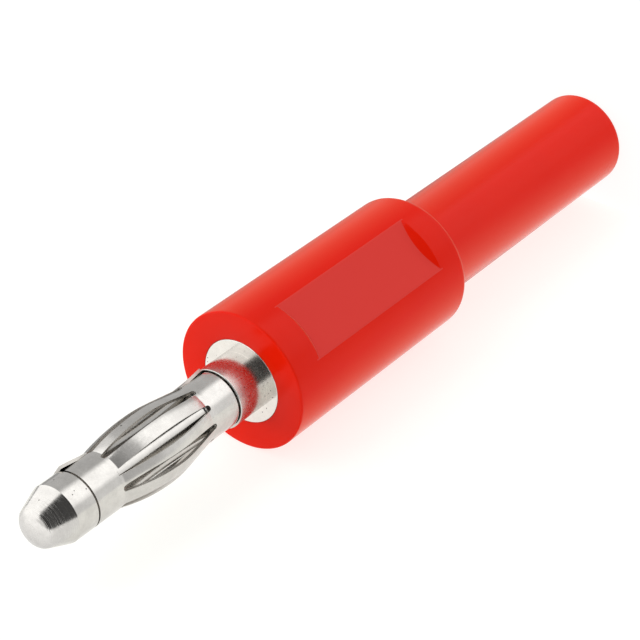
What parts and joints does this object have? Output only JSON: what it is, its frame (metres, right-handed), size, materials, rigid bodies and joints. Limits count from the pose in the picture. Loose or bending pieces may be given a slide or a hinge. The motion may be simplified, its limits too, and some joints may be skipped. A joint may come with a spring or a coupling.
{
  "type": "banana plug",
  "caption": "Straight banana plug with a slotted spring basket turning on a plated contact pin, and a stepped red insulating handle with finger flats and a cable bore.",
  "frame": {"origin": "centre of the flat end of the cable sleeve, on the pin axis", "axes": "+Z along the pin axis from the cable end to the nose, +X out of one finger flat"},
  "size_m": [0.01, 0.01, 0.0612],
  "materials": {
    "nickel_plated_brass": "bright nickel plating over turned brass",
    "nickel_plated_spring": "bright nickel plating over rolled spring strip",
    "red_plastic": "semi-gloss moulded plastic"
  },
  "bodies": {
    "plug": {"insulating_handle": "red_plastic", "contact_pin": "nickel_plated_brass"},
    "basket": {"spring_basket": "nickel_plated_spring"}
  },
  "joints": [
    {"name": "basket_spin", "type": "hinge", "parent": "plug", "child": "basket", "pos_m": [0, 0, 0.05075], "axis": [0, 0, 1], "continuous": true}
  ]
}
